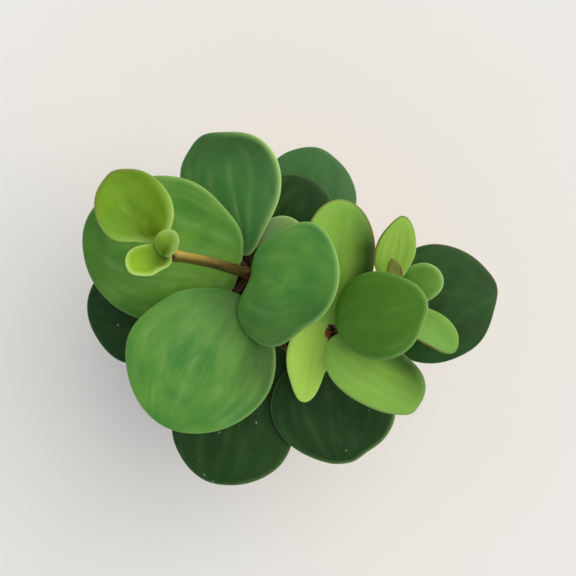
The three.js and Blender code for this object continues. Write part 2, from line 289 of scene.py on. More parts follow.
def terracotta(colours):
    """Terracotta: iron-rich earthenware, thrown, fired once and left unglazed. It looks dry and
    dull, with turning streaks, specks of grit, and pale salts where water has dried in it."""
    material, tree, surface = new_material("terracotta_thrown")
    place = add(tree, "TexCoord", out=3)
    at = add(tree, "VectorMath", {0: place, "Scale": 1 / MM}, operation="SCALE")
    height = add(tree, "SeparateXYZ", (at,), 2)
    # Fire patches about 14 mm wide, and streaks 1.2 mm high that run round the pot
    patch = add(tree, "TexNoise", {"Vector": at, "Scale": 1 / 14, "Detail": 4})
    flat = add(tree, "VectorMath", (at, (0.04, 0.04, 1)), operation="MULTIPLY")
    streak = add(tree, "TexNoise", {"Vector": flat, "Scale": 1 / 1.2, "Detail": 3})
    # Grit of about 0.8 mm, coarser than real fine clay, so that it shows
    grit = add(tree, "TexVoronoi", {"Vector": at, "Scale": 1 / 0.8})
    fine = add(tree, "TexNoise", {"Vector": at, "Scale": 1 / 0.35, "Detail": 2})
    # Salts gather low on the wall, up to 20 mm, and in clouds about 9 mm wide
    cloud = add(tree, "TexNoise", {"Vector": at, "Scale": 1 / 9, "Detail": 6, "Roughness": 0.65})
    low = add(tree, "MapRange", (height, 0.0, 20.0, 0.16, 0.0))
    salts = add(tree, "Math", (cloud, low), operation="ADD")
    # Each layer: its pattern, where that starts and ends, its share at both, and its colour
    body = colours.clay
    for *ends, tint in (
        (patch, 0.35, 0.7, 0.0, 0.7, colours.clay_dark),
        (streak, 0.4, 0.65, 0.0, 0.3, linear("cf8a68")),
        (grit, 0.08, 0.2, 0.5, 0.0, linear("6d3a28")),
        (salts, 0.52, 0.85, 0.0, 0.4, colours.lime),
    ):
        share = add(tree, "MapRange", ends)
        body = add(tree, "Mix", {0: share, 6: body, 7: tint}, 2, data_type="RGBA")
    rough = add(tree, "MapRange", {0: fine, 3: 0.82, 4: 0.98})
    relief = add(tree, "Math", (fine, grit), operation="ADD")
    bump = add(tree, "Bump", {"Strength": 0.5, "Distance": 0.08 * MM, "Height": relief})
    feeds = {"Base Color": body, "Roughness": rough, "IOR": 1.5, "Specular IOR Level": 0.35, "Normal": bump}
    tree.links.new(add(tree, "BsdfPrincipled", feeds), surface)
    return material


def potting_soil(colours):
    """Potting soil: dark peat with bits of bark and white perlite, moist and loose. It looks
    almost black between its crumbs and brown where they have dried."""
    material, tree, surface = new_material("potting_soil_peat")
    place = add(tree, "TexCoord", out=3)
    at = add(tree, "VectorMath", {0: place, "Scale": 1 / MM}, operation="SCALE")
    grain = add(tree, "Attribute", out=2, attribute_name="grain")
    # Crumbs of about 0.9 mm with fibres of a third of that
    crumb = add(tree, "TexNoise", {"Vector": at, "Scale": 1 / 0.9, "Detail": 5, "Roughness": 0.7})
    # Dry crumbs, bark and perlite, which starts at a grain of 0.95
    dry = add(tree, "MapRange", (crumb, 0.48, 0.7, 0.0, 0.8))
    bark = add(tree, "MapRange", (grain, 0.5, 0.9, 0.0, 0.85))
    white = add(tree, "Math", (grain, 0.95), operation="GREATER_THAN")
    body = colours.soil
    for share, tint in ((dry, colours.soil_dry), (bark, linear("6b4a2f")), (white, colours.perlite)):
        body = add(tree, "Mix", {0: share, 6: body, 7: tint}, 2, data_type="RGBA")
    rough = add(tree, "MapRange", {0: crumb, 3: 0.7, 4: 1.0})
    bump = add(tree, "Bump", {"Strength": 0.7, "Distance": 0.15 * MM, "Height": crumb})
    feeds = {"Base Color": body, "Roughness": rough, "IOR": 1.45, "Specular IOR Level": 0.3, "Normal": bump}
    tree.links.new(add(tree, "BsdfPrincipled", feeds), surface)
    return material


def fleshy_stem(colours):
    """Peperomia stem: fleshy, grown, with a thin smooth skin. Brown and dull low down, red near
    its joints, and clear ochre with a soft gloss where it is young. Round the young stem the ochre is
    painted lighter on the side toward the light and olive on the side away from it: painted light and
    shade, partly the real tan of a stem's sunny side."""
    material, tree, surface = new_material("peperomia_stem_skin")
    skin = add(tree, "Attribute", out=1, attribute_name="stem_skin")
    young, red, sunny = add(tree, "SeparateXYZ", (skin,)).node.outputs
    along = add(tree, "Attribute", out=1, attribute_name="stem_mm")
    # Fibres 0.3 mm wide and about 4 mm long show through the skin, with patches of 2.5 mm
    long = add(tree, "VectorMath", (along, (0.25, 3.0, 3.0)), operation="MULTIPLY")
    fibre = add(tree, "TexNoise", {"Vector": long, "Scale": 1.0, "Detail": 3})
    patch = add(tree, "TexNoise", {"Vector": along, "Scale": 1 / 2.5, "Detail": 2})
    fibres, patches = (
        add(tree, "MapRange", ends) for ends in ((fibre, 0.4, 0.7, 0.0, 0.25), (patch, 0.5, 0.75, 0.0, 0.25))
    )
    # Painted light and shade: the side toward SUNNY_SIDE is painted light ochre and the side away from it
    # dark olive, partly the real tan of a stem's sunny side
    lit = add(tree, "MapRange", (sunny, 0.1, 0.75))
    ochre = add(tree, "Mix", {0: lit, 6: colours.stem_shade, 7: colours.stem_young}, 2, data_type="RGBA")
    body = colours.stem_old
    for share, tint in (
        (young, ochre), (red, colours.stem_red), (fibres, linear("8a8a34")), (patches, linear("4a2a14")),
    ):
        body = add(tree, "Mix", {0: share, 6: body, 7: tint}, 2, data_type="RGBA")
    rough = add(tree, "MapRange", {0: patch, 3: 0.35, 4: 0.55})
    bump = add(tree, "Bump", {"Strength": 0.35, "Distance": 0.05 * MM, "Height": fibre})
    feeds = {
        "Base Color": body, "Roughness": rough, "IOR": 1.42, "Specular IOR Level": 0.25, "Normal": bump,
        "Subsurface Weight": 0.15, "Subsurface Radius": (1.0, 0.5, 0.2), "Subsurface Scale": 0.8 * MM,
    }
    tree.links.new(add(tree, "BsdfPrincipled", feeds), surface)
    return material


# The greens that a leaf goes through, one for each age from 0 to 4. From GROWN_AGE on it has a
# grown leaf's veins and rim. VEIN_STEP is how far apart its veins lie, as a share of the blade's
# half width
AGES = ("leaf_young", "leaf_fresh", "leaf_mid", "leaf_deep", "leaf_dark")
GROWN_AGE = 0.5
VEIN_STEP = 0.42


def aged(colours, leaf, extra=0.0):
    """The colour of a leaf, or of the parts of it that are older by an extra age."""
    age = min(leaf["age"] + extra, len(AGES) - 1)
    low = min(int(age), len(AGES) - 2)
    green = np.array(getattr(colours, AGES[low]))
    green = green + (np.array(getattr(colours, AGES[low + 1])) - green) * (age - low)
    # The light share mixes in painted light
    for tint, share in ((colours.leaf_sun, "sun"), (colours.leaf_painted_light, "light"), (colours.bud, "tan")):
        green = green + (np.array(tint) - green) * leaf[share]
    return green.tolist()


def waxy_leaf(leaf, sizes, colours):
    """Peperomia leaf: thick and fleshy, grown, under a smooth skin of wax. It has a soft, broad
    gloss, pale flesh along veins that fan out from the base, and a clear rim that light fills. The
    rim's broad glow on the side toward the light is painted light, and the side that its neighbours
    shade is painted darker as shade."""
    material, tree, surface = new_material("peperomia_leaf_" + leaf["name"])
    flat, fan, rims = (
        add(tree, "Attribute", out=1, attribute_name=name) for name in ("leaf_mm", "leaf_vein", "leaf_rim")
    )
    red, dusk = (add(tree, "Attribute", out=2, attribute_name=name) for name in ("stalk", "leaf_dusk"))
    edge = add(tree, "SeparateXYZ", (flat,), 2)
    spread, half, run = add(tree, "SeparateXYZ", (fan,)).node.outputs
    side, pale, browned = add(tree, "SeparateXYZ", (rims,)).node.outputs
    shift = (leaf["seed"] * 37.0, leaf["seed"] * 11.0, 0.0)
    at = add(tree, "VectorMath", (flat, shift), operation="ADD")
    # Noise of about 24 mm sways the veins, of 9 mm lets them come and go, and of 11 mm is the
    # clouds of darker flesh
    wander, patch, cloud = (
        add(tree, "TexNoise", {"Vector": at, "Scale": 1 / size, "Detail": detail})
        for size, detail in ((24, 0.5), (9, 2), (11, 2))
    )
    # Strokes of paler and darker flesh run with the veins, about 3.5 mm wide and 12 mm long,
    # with finer ones among them, about 1 mm wide and 7 mm long
    width = leaf["width"]
    place = add(tree, "VectorMath", (fan, (width / 7, 0.0, width / 24)), operation="MULTIPLY")
    place = add(tree, "VectorMath", (place, shift), operation="ADD")
    stroke = add(tree, "TexNoise", {"Vector": place, "Scale": 1.0, "Detail": 1.5})
    place = add(tree, "VectorMath", (fan, (width / 2, 0.0, width / 13)), operation="MULTIPLY")
    fine = add(tree, "TexNoise", {"Vector": place, "Scale": 1.0, "Detail": 2.5})
    # Veins lie at even shares of the leaf's half width, and past its middle each has forked in
    # two. Their pale flesh is a soft band of 1 to 3 mm, because they lie deep in the leaf
    sway = add(tree, "MapRange", (wander, 0.3, 0.7, -0.08, 0.08))
    bent = add(tree, "Math", (spread, sway), operation="ADD")
    nearest = [add(tree, "Math", (bent, VEIN_STEP / n), operation="PINGPONG") for n in (2, 4)]
    from_vein, from_fork = (add(tree, "Math", (share, half), operation="MULTIPLY") for share in nearest)
    core, haze, fork = (
        add(tree, "MapRange", (away, 0.0, wide, most, 0.0), interpolation_type="SMOOTHSTEP")
        for away, wide, most in ((from_vein, 1.3, 0.4), (from_vein, 3.4, 0.4), (from_fork, 1.2, 0.3))
    )
    past = add(tree, "MapRange", (run, 0.0, 0.4))
    fork = add(tree, "Math", (fork, past), operation="MULTIPLY")
    shown = add(tree, "MapRange", (patch, 0.38, 0.62, 0.0, 1.0))
    bright = add(tree, "MapRange", (stroke, 0.48, 0.72, 0.0, 0.6))
    bright_fine = add(tree, "MapRange", (fine, 0.5, 0.75, 0.0, 0.45))
    ends = (half, 0.3 * width / 2, width / 2, 0.25 * leaf["veins"], leaf["veins"])
    inward = add(tree, "MapRange", ends)
    # The veins fade where the blade is painted darker as shade
    lit = add(tree, "Math", (1.0, dusk), operation="SUBTRACT")
    veins = core
    for other, how in (
        (haze, "ADD"), (fork, "MAXIMUM"), (shown, "MULTIPLY"), (bright, "MAXIMUM"), (bright_fine, "MAXIMUM"),
        (inward, "MULTIPLY"), (lit, "MULTIPLY"),
    ):
        veins = add(tree, "Math", (veins, other), operation=how)
    # Darker flesh in the clouds and in both kinds of strokes
    darker = add(tree, "MapRange", (cloud, 0.35, 0.65, 0.0, 1.0))
    for ends in ((stroke, 0.5, 0.25, 0.0, 0.6), (fine, 0.5, 0.3, 0.0, 0.5)):
        darker = add(tree, "Math", (darker, add(tree, "MapRange", ends)), operation="MAXIMUM")
    # The heart of the leaf, near its base, is darker: partly its own flesh, and in the cupped young leaves
    # painted shade in their hollow
    ends = (run, -0.8, 0.5, leaf["heart"], 0.0)
    near = add(tree, "MapRange", ends, interpolation_type="SMOOTHSTEP")
    out = add(tree, "Math", (spread,), operation="ABSOLUTE")
    middle = add(tree, "MapRange", (out, 0.1, 0.9, 1.0, 0.2))
    heart = add(tree, "Math", (near, middle), operation="MULTIPLY")
    # Greyish wax in patches, partly a painted sheen of reflected sky
    wax_and_sheen = add(tree, "MapRange", (wander, 0.35, 0.6, 0.5 * leaf["bloom"], leaf["bloom"]))
    # The clear rim: a thin line all round, and a broader, paler one on the pale side, which is painted light:
    # the glow of light coming through the rim
    rim = mm(sizes.rim_width) * leaf["clear"]
    thin, broad = (
        add(tree, "MapRange", (edge, 0.0, wide * rim, most, 0.0), interpolation_type="SMOOTHSTEP")
        for wide, most in ((0.4, 1.0), (1.2, 0.6))
    )
    both = add(tree, "Math", (thin, 0.4, broad), operation="MULTIPLY_ADD")
    both = add(tree, "Math", (both, pale), operation="MULTIPLY")
    thin = add(tree, "Math", (thin, leaf["rim"]), operation="MULTIPLY")
    clear = add(tree, "Math", (thin, both), operation="MAXIMUM")
    brown = add(tree, "MapRange", (edge, 0.1 * rim, 0.5 * rim, 1.0, 0.0))
    brown = add(tree, "Math", (brown, browned), operation="MULTIPLY")
    below = add(tree, "MapRange", (side, -0.3, -0.9, 0.0, 0.85))
    # Water marks: flecks of about 0.5 mm, in some of the cells 4 mm wide
    cell = add(tree, "TexVoronoi", {"Vector": at, "Scale": 1 / 4})
    chosen = add(tree, "SeparateColor", (cell.node.outputs["Color"],))
    chosen = add(tree, "Math", (chosen, leaf["flecks"]), operation="LESS_THAN")
    spot = add(tree, "MapRange", (cell, 0.03, 0.09, 0.75, 0.0))
    spot = add(tree, "Math", (spot, chosen), operation="MULTIPLY")
    grown = leaf["age"] >= GROWN_AGE
    body = aged(colours, leaf)
    for share, tint in (
        (darker, aged(colours, leaf, leaf["clouds"])),
        (heart, colours.heart),
        # Painted shade on the side of the blade that its neighbours shade
        (dusk, colours.dusk),
        (veins, colours.vein if grown else colours.vein_young),
        (wax_and_sheen, colours.bloom),
        (clear, colours.rim if grown else colours.rim_young),
        (brown, colours.edge),
        (below, colours.underside),
        (red, colours.stalk),
        (spot, colours.fleck),
    ):
        body = add(tree, "Mix", {0: share, 6: body, 7: tint}, 2, data_type="RGBA")
    # Skin cells are far finer than a pixel, so the grain of the wax is drawn at 0.7 mm
    grain = add(tree, "TexNoise", {"Vector": at, "Scale": 1 / 0.7, "Detail": 2})
    rough = add(tree, "MapRange", (patch, 0.3, 0.7, 0.34, 0.48))
    bump = add(tree, "Bump", {"Strength": 0.2, "Distance": 0.03 * MM, "Height": grain})
    feeds = {
        "Base Color": body, "Roughness": rough, "IOR": 1.43, "Specular IOR Level": leaf["gloss"],
        "Normal": bump, "Subsurface Weight": 0.12, "Subsurface Radius": (0.5, 1.0, 0.15),
        "Subsurface Scale": 1.0 * MM,
    }
    tree.links.new(add(tree, "BsdfPrincipled", feeds), surface)
    return material


# Pot and soil
# Lengths are in mm. The outline's corners are (radius, height, rounding), and the pot's inner
# face runs from INNER_FOOT at its floor to INNER_TOP just under its rim.

POT_WALL = 3.0
POT_FLOOR = 4.0
RIM_WALL = 3.5
RIM_STEP = 2.0
RIM_TAPER = 0.6
OUTLINE_STEP = 0.45
POT_AROUND = 160
MARK_PITCH = 2.6
CROSS_MARK = 1.7
MARK_CALM = 3
DRAIN_RADIUS = 2.6
DRAIN_CIRCLE = 9.0
DRAIN_COUNT = 3
DRAIN_SIDES = 40
MERGE = 0.001
INNER_FOOT = 16.0
INNER_TOP = 24.0
INNER_BELOW_RIM = 0.8
GAP = 0.3
SIDE_GAP = 0.4
EDGE_GAP = 0.12
SOIL_MIDDLE = 30
SOIL_LEVEL = 43.0
SOIL_MOUND = 2.2
SOIL_LUMP = 0.7
SOIL_WAVE = 2.0
SOIL_AROUND = 150
SOIL_RINGS = 56
# Each grain of the soil's top: where its noise is read, its size and its height
SOIL_GRAIN = ((3, 1.4, 0.45), (9, 0.6, 0.2))
# Crumbs are drawn from 0 to 1: bark from the first of these on, and perlite from the second
BARK = 0.82
PERLITE = 0.965
CRUMB_SEED = 12
CRUMB_MARGIN = 1.3


def rounded(corners, spacing):
    """An outline of (radius, height, rounding) corners with the corners rounded off."""
    outline = [np.array(corners[0][:2], float)]
    for before, (x, y, round_off), after in zip(corners, corners[1:], corners[2:]):
        corner = np.array((x, y), float)
        start, end = (np.array(c[:2], float) - corner for c in (before, after))
        start = corner + start / np.linalg.norm(start) * round_off
        end = corner + end / np.linalg.norm(end) * round_off
        for t in np.linspace(0, 1, 7):
            outline.append((1 - t) ** 2 * start + 2 * t * (1 - t) * corner + t * t * end)
    outline.append(np.array(corners[-1][:2], float))
    even = [outline[0]]
    for here, there in zip(outline, outline[1:]):
        count = max(1, math.ceil(np.linalg.norm(there - here) / spacing))
        even.extend(here + (there - here) * (i + 1) / count for i in range(count))
    return np.array(even)


def pot_points(sizes):
    """The thrown pot's outline, turned round its axis, with the spiral of the throwing."""
    top, high = mm(sizes.pot_radius), mm(sizes.pot_height)
    foot = mm(sizes.foot_radius)
    band = high - mm(sizes.band_height)
    corners = [
        (0, 0, 0),
        (foot, 0, 1.0),
        (top - RIM_STEP, band, 0.5),
        (top - RIM_TAPER, band, 1.0),
        (top, high, 1.2),
        (top - RIM_WALL, high, 1.2),
        (foot - POT_WALL, POT_FLOOR, 1.5),
        (0, POT_FLOOR, 0),
    ]
    outline = rounded(corners, OUTLINE_STEP)[1:-1]
    turn = np.linspace(0, 2 * math.pi, POT_AROUND, endpoint=False)
    mark = mm(sizes.throwing_mark)
    points = [(0, 0, 0)]
    for radius, height in outline:
        # The spiral fades near the foot and the rim, and a weaker one crosses it
        calm = min(1, max(0, (height - 1) / MARK_CALM), max(0, (high - height) / MARK_CALM))
        waves = np.sin(2 * math.pi * height / MARK_PITCH + turn)
        waves = waves + 0.6 * np.sin(CROSS_MARK * height - 2 * turn)
        wide = radius + (mark * calm * waves if radius > foot - POT_WALL else 0)
        points.extend(np.stack([wide * np.cos(turn), wide * np.sin(turn), 0 * turn + height], 1))
    return np.array(points + [(0, 0, POT_FLOOR)]), len(outline)


def drill_drain_holes(pot):
    """Cuts the drain holes through the pot's floor, and merges what the cuts leave too close."""
    mesh = bpy.data.meshes.new("drills")
    drills = bmesh.new()
    for i in range(DRAIN_COUNT):
        angle = 2 * math.pi * i / DRAIN_COUNT + math.pi / 2
        spot = Vector((math.cos(angle), math.sin(angle), 0)) * DRAIN_CIRCLE * MM
        bmesh.ops.create_cone(
            drills, cap_ends=True, segments=DRAIN_SIDES, radius1=DRAIN_RADIUS * MM, radius2=DRAIN_RADIUS * MM,
            depth=4 * POT_FLOOR * MM, matrix=Matrix.Translation(spot),
        )
    drills.to_mesh(mesh)
    drills.free()
    tool = bpy.data.objects.new("drills", mesh)
    bpy.context.scene.collection.objects.link(tool)
    cut = pot.modifiers.new("drain holes", "BOOLEAN")
    cut.operation = "DIFFERENCE"
    cut.object = tool
    cut.solver = "EXACT"
    drilled = bpy.data.meshes.new_from_object(pot.evaluated_get(bpy.context.evaluated_depsgraph_get()))
    pot.modifiers.clear()
    skin = bmesh.new()
    skin.from_mesh(drilled)
    bmesh.ops.remove_doubles(skin, verts=skin.verts, dist=MERGE * MM)
    bmesh.ops.dissolve_degenerate(skin, edges=skin.edges, dist=MERGE * MM)
    skin.to_mesh(drilled)
    skin.free()
    pot.data = drilled
    bpy.data.objects.remove(tool)


def inner_radius(z):
    """The inner face of the pot's wall, as a radius at a height."""
    share = (z - POT_FLOOR) / (mm(POT_TOP.z) - INNER_BELOW_RIM - POT_FLOOR)
    return INNER_FOOT + (INNER_TOP - INNER_FOOT) * share


def soil_height(x, y):
    """The soil's uneven top, without its crumbs."""
    share = min(1, math.hypot(x, y) / inner_radius(SOIL_LEVEL))
    lumps = math.sin(x / SOIL_WAVE + 1) * math.cos(y / SOIL_WAVE) * (1 - share**4)
    return SOIL_LEVEL + SOIL_MOUND * (1 - share**2) + SOIL_LUMP * lumps


def soil_points():
    """The plug of soil: its underside, its side and its crumbly top."""
    bottom = POT_FLOOR + GAP
    edge = inner_radius(SOIL_LEVEL) - EDGE_GAP
    turn = np.linspace(0, 2 * math.pi, SOIL_AROUND, endpoint=False)
    points = [(0, 0, bottom)]
    for height in (bottom, SOIL_MIDDLE):
        radius = inner_radius(height) - SIDE_GAP
        points.extend((radius * math.cos(a), radius * math.sin(a), height) for a in turn)
    for ring in range(SOIL_RINGS):
        radius = edge * (1 - ring / SOIL_RINGS)
        for a in turn:
            x, y = radius * math.cos(a), radius * math.sin(a)
            z = soil_height(x, y)
            for place, size, high in SOIL_GRAIN:
                z += high * noise.noise(Vector((x, y, place)) / size)
            points.append((x, y, z))
    return np.array(points + [(0, 0, soil_height(0, 0))]), SOIL_RINGS + 2


def crumb_points(sizes, first):
    """Loose crumbs, bits of bark and grains of perlite on the soil: points, faces and grain."""
    draw = random.Random(CRUMB_SEED)
    ball = bmesh.new()
    bmesh.ops.create_icosphere(ball, subdivisions=2, radius=1)
    base = np.array([v.co for v in ball.verts])
    corners = [[v.index for v in f.verts] for f in ball.faces]
    ball.free()
    points, faces, grain = [], [], []
    for i in range(sizes.crumb_count):
        kind = draw.random()
        size = mm(sizes.crumb) * draw.uniform(0.45, 1.5) ** 1.3
        shape = [draw.uniform(0.7, 1.15) for _ in range(3)]
        if kind > BARK:
            shape = [draw.uniform(1.3, 2.6), draw.uniform(0.6, 1.1), draw.uniform(0.3, 0.5)]
        if kind > PERLITE:
            shape = [draw.uniform(0.9, 1.3) for _ in range(3)]
        radius = (inner_radius(SOIL_LEVEL) - CRUMB_MARGIN - 0.6 * size) * math.sqrt(draw.random())
        angle = draw.uniform(0, 2 * math.pi)
        x, y = radius * math.cos(angle), radius * math.sin(angle)
        turn = Matrix.Rotation(draw.uniform(0, 6.28), 3, "Z") @ Matrix.Rotation(draw.gauss(0, 0.35), 3, "X")
        rough = 1 + 0.22 * np.array([noise.noise(Vector(p) * 1.7 + Vector((i, 0, 0))) for p in base])
        lump = (base * rough[:, None] * shape * size) @ np.array(turn).T
        points.append(lump + (x, y, soil_height(x, y) + 0.25 * size))
        faces.extend([first + i * len(base) + c for c in face] for face in corners)
        grain.extend([1.0 if kind > PERLITE else 0.9 if kind > BARK else 0.35 * draw.random()] * len(base))
    return np.concatenate(points), faces, grain


# Stems
# Each is the points that it passes through, from its root end up. young and red say how its
# skin changes on the way, from old and brown to young and ochre, and how red it is.

STEM_SIDES = 24
STEM_STEP = 0.35
# The side that the stem's colour paints as lit; the other side is painted as shade
SUNNY_SIDE = (0.2, 0.75, 0.6)
# A leaf joint this near belongs to the stem. The swelling's half length, how far below it its
# groove lies and how long that is, and over how much the stem's ends are rounded, all in mm
JOINT_REACH = 2
SWELL_LONG = 1.3
GROOVE_BELOW = 2.2
GROOVE_LONG = 0.5
END_ROUND = 1.2
RIBS = 5
RIB_HEIGHT = 0.02
STEMS = [
    {
        "name": "stem_left", "radius": 1.5, "tip": 1.15,
        "points": [
            (-2.0, 2.6, 26), (-2.6, 3.4, 45), (-3.2, 5.2, 57), (-3.5, 7.1, 67),
            (-5.2, 7.6, 74), (-12.0, 9.5, 82.5), (-19.5, 10.8, 90.8),
        ],
        # The branch keeps the old brown up to its leaf joint and turns ochre slowly past it: partly older
        # skin, partly painted shade near the joint
        "young": [(0, 0), (0.6, 0.05), (0.7, 0), (0.75, 0.1), (0.81, 0.35), (0.87, 0.7), (0.93, 1), (1, 1)],
        "red": [(0, 0), (0.5, 0.2), (0.6, 0.35), (0.66, 0.15), (0.72, 0), (1, 0)],
    },
    {
        "name": "stem_middle", "radius": 1.5, "tip": 1.5,
        "points": [(12.2, -6.0, 26), (13.2, -6.4, 44), (14.8, -7.2, 57), (16.4, -6.7, 68)],
        "young": [(0, 0), (1, 0.1)],
        "red": [(0, 0), (0.6, 0.3), (0.95, 0.5), (1, 1)],
    },
    {
        "name": "stem_right", "radius": 1.5, "tip": 1.15,
        "points": [(16.0, 1.5, 26), (18.2, 1.0, 44), (25.5, 1.5, 55), (30.4, 1.8, 65)],
        "young": [(0, 0), (0.6, 0.1), (1, 0.6)],
        "red": [(0, 0), (0.6, 0.4), (1, 0.4)],
    },
]


def grow_stem(stem, sizes, material):
    """A fleshy stem that swells at each leaf joint, with a groove under the swelling."""
    line, run = smooth_line(stem["points"], STEM_STEP)
    radii = np.interp(run, (0, run[-1]), (stem["radius"], stem["tip"]))
    swell = 0 * run
    for leaf in LEAVES:
        gap = np.linalg.norm(line - np.array(leaf["joint"], float), axis=1)
        nearest = int(np.argmin(gap))
        if gap[nearest] > JOINT_REACH:
            continue
        away = run - run[nearest]
        swell = np.maximum(swell, np.exp(-((away / SWELL_LONG) ** 2)))
        swell = np.minimum(swell, 1 - 0.5 * np.exp(-(((away + GROOVE_BELOW) / GROOVE_LONG) ** 2)))
    radii += mm(sizes.node_swell) * swell * radii / stem["radius"]
    dome = np.clip(np.minimum(run, run[-1] - run) / END_ROUND, 0.02, 1)
    radii *= np.sqrt(1 - (1 - dome) ** 2)
    turn = np.linspace(0, 2 * math.pi, STEM_SIDES, endpoint=False)
    ribs = 1 + RIB_HEIGHT * np.cos(RIBS * turn)
    points = tube(line, radii[:, None] * ribs, STEM_SIDES)
    young, red = (np.interp(run / run[-1], *zip(*stem[key])) for key in ("young", "red"))
    wide = stem["radius"]
    places = [(a, wide * math.cos(t), wide * math.sin(t)) for a in run for t in turn]
    middles = np.concatenate([line[:1], np.repeat(line, STEM_SIDES, axis=0), line[-1:]])
    # How far each point faces SUNNY_SIDE, for the painted light and shade round the stem
    sunny = (points - middles) @ np.array(SUNNY_SIDE) / wide
    along = [np.concatenate([a[:1], np.repeat(a, STEM_SIDES), a[-1:]]) for a in (young, red)]
    facts = {
        "stem_skin": np.stack([*along, sunny], 1),
        "stem_mm": [(run[0], 0, 0)] + places + [(run[-1], 0, 0)],
    }
    faces = ring_faces(len(line), STEM_SIDES)
    return make_piece("fleshy_" + stem["name"], stem["name"], points, faces, facts, material)


# Leaves
# Each leaf is its name, its joint, where the stalk leaves its stem, its base and tip, the ends of
# the blade, and its width. roll lifts the left edge, seen from base to tip. arch bends the midrib
# down and cup lifts both edges, in degrees over the whole blade. broad moves the widest place
# towards the tip, point and taper narrow the tip and base, notch cuts the base in, and skew moves
# the left edge towards the tip. Each of the shoulders stands out from the outline, or in from it
# below 0: where, in degrees from the tip to the left, how far, and how many degrees it spreads.
# crease is the depth of the groove along the midrib, thick the blade's thickness where it isn't
# the grown leaf's, and petiole the stalk's radius. age runs from 0, young and yellow-green, to 4,
# old and dark. sun makes it yellower and tan turns it olive brown. light makes it paler: this is
# painted light, the pale green of a thin leaf that light comes through, also used to lighten leaves
# that lie in shade. heart, clouds, veins, rim, bloom and flecks say how much shows
# of darker flesh near the base, which in the cupped young leaves is also painted shade in their
# hollow, darker clouds, pale veins, a pale line round the leaf, greyish wax that also paints a sheen
# of reflected sky, and water marks, gloss how much its skin reflects, and clear how wide its clear
# rim is. pale and brown are the sides on which the rim is broad and pale, or brown: the broad pale
# rim is painted light, the glow of light coming through it. dusk is the side of the blade
# that is painted darker as the shade that its neighbours cast. Each of these is a direction in
# degrees from +X, how far it spreads, and how strong it is.

NOTCH_SPREAD = 0.4
NO_BEND = 1e-6
LEAF_AROUND = 120
TOP_RINGS = 28
RIM_RINGS = 13
RIM_START = 0.93
FURROW_WIDE = 0.8
CREASE_WIDE = 0.9
WAVE_LONG = 9
FULL_WIDTH = 30
STALK_SIDES = 16
STALK_STEP = 0.3
RED_LONG = 6
PLAIN_LEAF = {
    "roll": 0, "arch": 0, "cup": 0, "broad": 0, "point": 0, "taper": 0, "notch": 0, "skew": 0,
    "shoulders": (), "crease": 0, "thick": None, "petiole": 0.85, "age": 2, "sun": 0, "light": 0,
    "tan": 0, "clouds": 0.4, "heart": 0, "veins": 0.25, "rim": 0.12, "clear": 1, "bloom": 0,
    "flecks": 0, "gloss": 0.25, "pale": (0, 60, 0), "brown": (90, 60, 0), "dusk": (0, 60, 0),
}


def plan(name, joint, base, tip, width, **more):
    """A leaf's place and width, and in what else it differs from a plain leaf."""
    return {**PLAIN_LEAF, "name": name, "joint": joint, "base": base, "tip": tip, "width": width, **more}


